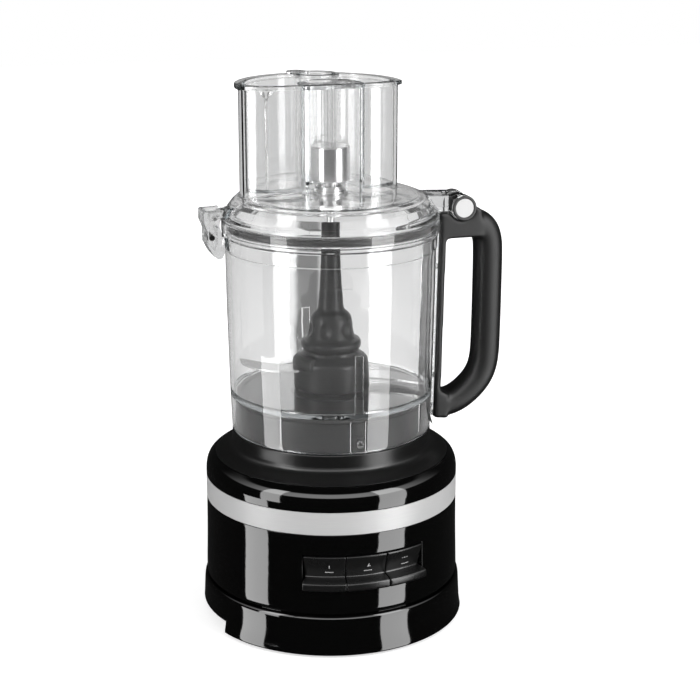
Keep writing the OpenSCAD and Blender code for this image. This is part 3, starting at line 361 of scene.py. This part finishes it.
# %% Flowing mouldings
def melt(name, cube, steps):
    """Rebuilds a CAD node from cubes of the given size and relaxes it."""
    remesh = nodes[name].modifiers.new("remesh", "REMESH")
    remesh.mode = "VOXEL"
    remesh.voxel_size = cube
    remesh.use_smooth_shade = True
    relax = nodes[name].modifiers.new("relax", "SMOOTH")
    relax.factor = 0.5
    relax.iterations = steps
    print(name, "is rebuilt from cubes of", cube, "m")


melt("handle", 0.001, 36)
melt("blade_hub", 0.0008, 5)

# %% [markdown]
# ## Rings
#
# A rubber ring lies on the edge of the black pedestal, so that the bowl
# doesn't rattle on it, a dark bezel frames each silver hinge cap, and a small
# frosted ring is the moulding's gate mark on the bowl's foot. A torus would
# be too round for these flat rings. So each is a disc whose two faces are
# inset and bridged, which opens the middle, and a bevel rounds its rims.

# %% Rings
def ring_piece(name, outer, inner, thick, finish, place, body):
    """A flat ring with rounded edges, laid flat and then put in its place."""
    bpy.ops.mesh.primitive_cylinder_add(vertices=128, radius=outer, depth=thick)
    made = bpy.context.object
    made.name = name
    bpy.ops.object.mode_set(mode="EDIT")
    bpy.ops.mesh.select_mode(type="FACE")
    bpy.ops.mesh.select_all(action="DESELECT")
    shape = bmesh.from_edit_mesh(made.data)
    for face in shape.faces:
        face.select = abs(face.normal.z) > 0.9
    bmesh.update_edit_mesh(made.data)
    bpy.ops.mesh.inset(thickness=outer - inner)
    bpy.ops.mesh.bridge_edge_loops()
    bpy.ops.mesh.select_all(action="SELECT")
    bpy.ops.mesh.normals_make_consistent(inside=False)
    bpy.ops.object.mode_set(mode="OBJECT")
    rounded = made.modifiers.new("bevel", "BEVEL")
    rounded.width = thick / 4
    rounded.segments = 3
    bpy.ops.object.modifier_apply(modifier="bevel")
    bpy.ops.object.shade_smooth_by_angle(angle=radians(40))
    made.data.transform(place)
    made.data.materials.append(finish.material)
    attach(made, body)
    bpy.ops.object.select_all(action="DESELECT")
    print(name, "rides on", body, "and has", len(made.data.polygons), "faces")


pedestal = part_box("base_deck")[1].z
upright = Matrix.Rotation(radians(90), 4, "X")
ring_sink = 0.0007
bezel_sink = 0.0004
ring_piece("pedestal_ring", outer=0.0776, inner=0.0734, thick=0.0034,
           finish=rubber, place=Matrix.Translation((0, 0, pedestal - ring_sink)),
           body="base")
cap_low, cap_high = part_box("hinge_caps")
hinge = (cap_low + cap_high) / 2
for name, face_y in (("left", cap_low.y + bezel_sink), ("right", cap_high.y - bezel_sink)):
    ring_piece("hinge_bezel_" + name, outer=0.0101, inner=0.0076, thick=0.0014,
               finish=seal,
               place=Matrix.Translation((hinge.x, face_y, hinge.z)) @ upright,
               body="lid")
ring_piece("gate_mark", outer=0.0031, inner=0.0017, thick=0.0014, finish=frosted,
           place=Matrix.Translation((0.001, -0.0819, 0.1688)) @ upright,
           body="work_bowl")

# %% [markdown]
# ## Moulded lines on the bowl
#
# The bowl carries a fill line and a short scale, raised from the same clear
# plastic. They could be cut into its mesh, but its wall is best left alone.
# So each is a small upright face that is spun around the spindle, which
# bends it to the wall.

# %% Fill line and scale
foot_radius = 0.0818
foot_height = 0.1619
wall_flare = 0.0215
line_depth = 0.0006


def raised_line(name, height, start, end, tall):
    """A rib on the bowl from start to end degrees, counted round from +X."""
    radius = foot_radius + (height - foot_height) * wall_flare
    bpy.ops.mesh.primitive_plane_add(size=1)
    made = bpy.context.object
    made.name = name
    made.data.transform(Matrix.Rotation(radians(start), 4, "Z")
                        @ Matrix.Translation((radius, 0, height))
                        @ Matrix.Rotation(radians(90), 4, "X")
                        @ Matrix.Diagonal((line_depth, tall, 1, 1)))
    bpy.ops.object.mode_set(mode="EDIT")
    bpy.ops.mesh.select_all(action="SELECT")
    bpy.ops.mesh.spin(steps=max(2, round(abs(end - start))),
                      angle=radians(end - start), center=(0, 0, 0), axis=(0, 0, 1))
    bpy.ops.mesh.select_all(action="SELECT")
    bpy.ops.mesh.remove_doubles(threshold=0.00001)
    bpy.ops.mesh.normals_make_consistent(inside=False)
    bpy.ops.object.mode_set(mode="OBJECT")
    made.data.materials.append(clear.material)
    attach(made, "work_bowl")
    bpy.ops.object.select_all(action="DESELECT")
    print(name, "is", round(height, 4), "m above the floor")


raised_line("fill_line", height=0.295, start=265.4, end=275.2, tall=0.0008)
scale_foot = 0.243
scale_step = 0.0065
scale_start, long_end, short_end = 228.4, 232.3, 230.8
for step in range(5):
    raised_line("scale_%d" % step, height=scale_foot + scale_step * step,
                start=scale_start, end=long_end if step % 2 == 0 else short_end,
                tall=0.0006)

# %% [markdown]
# ## Printed marks
#
# Two paddles carry a plain number over a dash, and the third has three dots
# there. They could be painted in with a mask, but at this size a mask would
# blur. So each is a thin piece of its own. The face below it is part of a
# cone, so a mark is modelled flat and then laid on that face.

# %% Marks on the paddles
ink = grained("ink_white", 0.32, 0.4, 0.0003, 0.000002)
face_lean = radians(-15.7)
face_foot = 0.0677
face_foot_radius = 0.10026
face_slope = 0.0044 / 0.0156


def lay(piece, turn, height, body):
    """Stands a flat piece on a paddle's face, turn degrees round from +X."""
    stand = Matrix.Rotation(radians(90) + face_lean, 4, "X")
    radius = face_foot_radius + (height - face_foot) * face_slope
    out = Matrix.Translation((0, -radius, height))
    round_z = Matrix.Rotation(radians(turn + 90), 4, "Z")
    piece.data.transform(round_z @ out @ stand)
    piece.data.materials.clear()
    piece.data.materials.append(ink.material)
    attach(piece, body)
    print(piece.name, "is on", body)


def digit(name, figure, size):
    """A flat figure of the given height, centred on the origin."""
    bpy.ops.object.text_add()
    made = bpy.context.object
    made.name = name
    made.data.body = figure
    made.data.size = size
    made.data.extrude = 0.00005
    made.data.align_x = "CENTER"
    made.data.align_y = "CENTER"
    bpy.ops.object.convert(target="MESH")
    bpy.ops.object.select_all(action="DESELECT")
    return made


def dash(name, width, height):
    """A flat bar with rounded corners, centred on the origin."""
    bpy.ops.mesh.primitive_cube_add(size=1)
    made = bpy.context.object
    made.name = name
    made.data.transform(Matrix.Diagonal((width, height, 0.0001, 1)))
    bpy.ops.object.mode_set(mode="EDIT")
    bpy.ops.mesh.select_all(action="SELECT")
    bpy.ops.mesh.bevel(offset=height * 0.35, segments=3, affect="EDGES")
    bpy.ops.object.mode_set(mode="OBJECT")
    bpy.ops.object.select_all(action="DESELECT")
    return made


pitch = 18.7
figure_z = 0.0768
figure_size = 0.0064
dash_z = 0.0708
dash_width, dash_height = 0.0068, 0.0007
dot = 0.0011
dot_turn = 0.6
for step, (name, figure, shift) in enumerate((("1", "1", 2.0), ("2", "2", 0.8),
                                              ("pulse", None, 0.8))):
    turn = 270 + (step - 1) * pitch
    body = "paddle_" + name
    if figure:
        lay(digit("figure_" + name, figure, figure_size), turn + shift,
            figure_z, body)
    else:
        for offset in (-2, 0, 2):
            lay(dash("dot_%d" % (offset + 2), dot, dot), turn + offset * dot_turn,
                figure_z, body)
    lay(dash("dash_" + name, dash_width, dash_height), turn + shift, dash_z, body)

# %% [markdown]
# ## The lamps
#
# Gloss black shows only what it mirrors. One broad lamp would wash it grey,
# so two tall strips stand to the left and the right, and their images are
# the bright uprights on the base. The left one is in two pieces, and the
# lower stands further round, which brings its image on the wide base under
# the upper one's on the slim bowl.

# %% Lamps
reach = 1.3
level = 7.0


def lamp(name, angle, low, high, width):
    """An upright strip lamp, angle degrees to the right of the camera."""
    turn = radians(camera_turn - 90 + angle)
    data = bpy.data.lights.new(name, "AREA")
    data.shape = "RECTANGLE"
    data.size = width
    data.size_y = high - low
    data.energy = level * width * (high - low) * pi
    made = bpy.data.objects.new(name, data)
    made.location = (reach * cos(turn), reach * sin(turn), (low + high) / 2)
    made.rotation_euler = (radians(90), 0, turn + radians(90))
    scene.collection.objects.link(made)
    print(name, "gives", round(data.energy, 2), "W")


bottom, joint, top = -0.6, -0.17, 1.5
lamp("strip_left_low", angle=-69, low=bottom, high=joint, width=0.56)
lamp("strip_left_high", angle=-53, low=joint, high=top, width=0.42)
lamp("strip_right", angle=55, low=bottom, high=top, width=0.6)

# %% [markdown]
# ## The room
#
# A white room all round would lift the blacks to grey, and a dark one would
# leave the plastic without light. So the world answers each kind of ray in
# its own way. It is white where the camera looks at it, soft grey to white
# behind clear plastic, and to a mirror it is a dark room with a bright ring
# at head height in front, which draws the curved highlight on the shoulder.

# %% World
world = bpy.data.worlds.new("studio")
scene.world = world
world.use_nodes = True
sky = Shading(world.node_tree)
direction = sky.node("ShaderNodeTexCoord", out="Generated")
rise = sky.node("ShaderNodeSeparateXYZ", None, {0: direction}, out="Z")
to_camera = Vector((camera.location.x, camera.location.y, 0)).normalized()
ahead = sky.node("ShaderNodeVectorMath", {"operation": "DOT_PRODUCT"},
                 {0: direction, 1: tuple(to_camera)}, out="Value")
ring_level = 4.2
room_level = 0.02
ring = (sky.smooth(rise, 0.28, 0.34) * sky.smooth(rise, 0.64, 0.74, 1, 0)
        * sky.smooth(ahead, -0.6, 0.9))
seen, bent, mirrored = (sky.ray(kind) for kind in ("Camera", "Transmission", "Glossy"))
mirrored = mirrored * (1 - bent)
backdrop = ((0.5 + 0.37 * sky.smooth(ahead, -0.45, -0.85))
            * sky.smooth(rise, 0.3, 0.7, 1, 0.4))
fill = 0.42
strength = (fill + (1 - fill) * seen + bent * (backdrop - fill)
            + mirrored * (ring_level * ring + room_level - fill))
background = world.node_tree.nodes["Background"]
sky.put(background.inputs["Color"], 1.0)
sky.put(background.inputs["Strength"], strength)
print("the room's tree has", len(world.node_tree.nodes), "nodes")

# %% [markdown]
# ## The floor
#
# The machine stands on white paper. Lit by the lamps alone the paper would
# end in a grey horizon, and paper that only glows would lose the shadow. So
# it glows weakly by the feet, where the soft shadow lies, and more and more
# further out, until it is as white as the room.

# %% Floor
bpy.ops.mesh.primitive_plane_add(size=8, location=(0, 0, 0))
floor = bpy.context.object
floor.name = "floor"
paper = Finish("paper", Base_Color=0.85, Roughness=0.9, Specular_IOR_Level=0.0,
               Emission_Strength=1.0)
away = paper.node("ShaderNodeVectorMath", {"operation": "LENGTH"},
                  {0: paper.place()}, out="Value")
paper.set("Emission Color", paper.ray("Camera") * paper.smooth(away, 0.1, 1.0, 0.55, 0.95)
          + 0.35 * paper.ray("Transmission"))
floor.data.materials.append(paper.material)
floor.visible_glossy = False
print("the floor lies at", round(floor.location.z, 4), "m")

# %% [markdown]
# ## The flag
#
# Clear plastic in front of white would have no shape at all. A studio hangs
# black flags behind it, out of the picture. Here a narrow dark flag stands
# behind the bowl, which only bent rays see, and its soft edges give the bowl
# a shade from the stem to the left.

# %% Flag
flag_side, flag_back, flag_rise = -0.0264, 0.25, 0.2
flag_width, flag_height = 0.034, 0.16
solid_half, soft_half = 0.008, 0.016
across = Vector((cos(radians(camera_turn)), sin(radians(camera_turn)), 0))
onward = Vector((-sin(radians(camera_turn)), cos(radians(camera_turn)), 0))
bpy.ops.mesh.primitive_plane_add(size=1)
flag = bpy.context.object
flag.name = "flag"
flag_centre = across * flag_side + onward * flag_back + Vector((0, 0, flag_rise))
flag.data.transform(Matrix.Translation(flag_centre)
                    @ Matrix.Rotation(radians(camera_turn), 4, "Z")
                    @ Matrix.Rotation(radians(90), 4, "X")
                    @ Matrix.Diagonal((flag_width, flag_height, 1, 1)))
shade = Finish("flag_grey", Base_Color=0.0, Roughness=1.0, Specular_IOR_Level=0.0,
               Emission_Color=0.13, Emission_Strength=1.0)
aside = shade.node("ShaderNodeVectorMath", {"operation": "DOT_PRODUCT"},
                   {0: shade.place(), 1: tuple(across)}, out="Value")
shade.set("Alpha", 0.9
          * shade.smooth(aside, flag_side - soft_half, flag_side - solid_half)
          * shade.smooth(aside, flag_side + solid_half, flag_side + soft_half, 1, 0)
          * shade.smooth(shade.axis("Z"), 0.26, 0.278, 1, 0))
flag.data.materials.append(shade.material)
flag.visible_camera = False
flag.visible_glossy = False
flag.visible_diffuse = False
flag.visible_shadow = False
print("the flag is", flag_height, "m tall and stands", flag_back, "m behind")

# %% [markdown]
# ## Light paths
#
# A ray that looks through the tube and both pushers crosses more than twenty
# faces of clear plastic. Short paths would end in black there, so the paths
# are long.

# %% View and light paths
scene.view_settings.view_transform = "Standard"
scene.cycles.max_bounces = 32
scene.cycles.glossy_bounces = 32
scene.cycles.transmission_bounces = 32
scene.cycles.transparent_max_bounces = 64
print("a path may bounce", scene.cycles.max_bounces, "times")
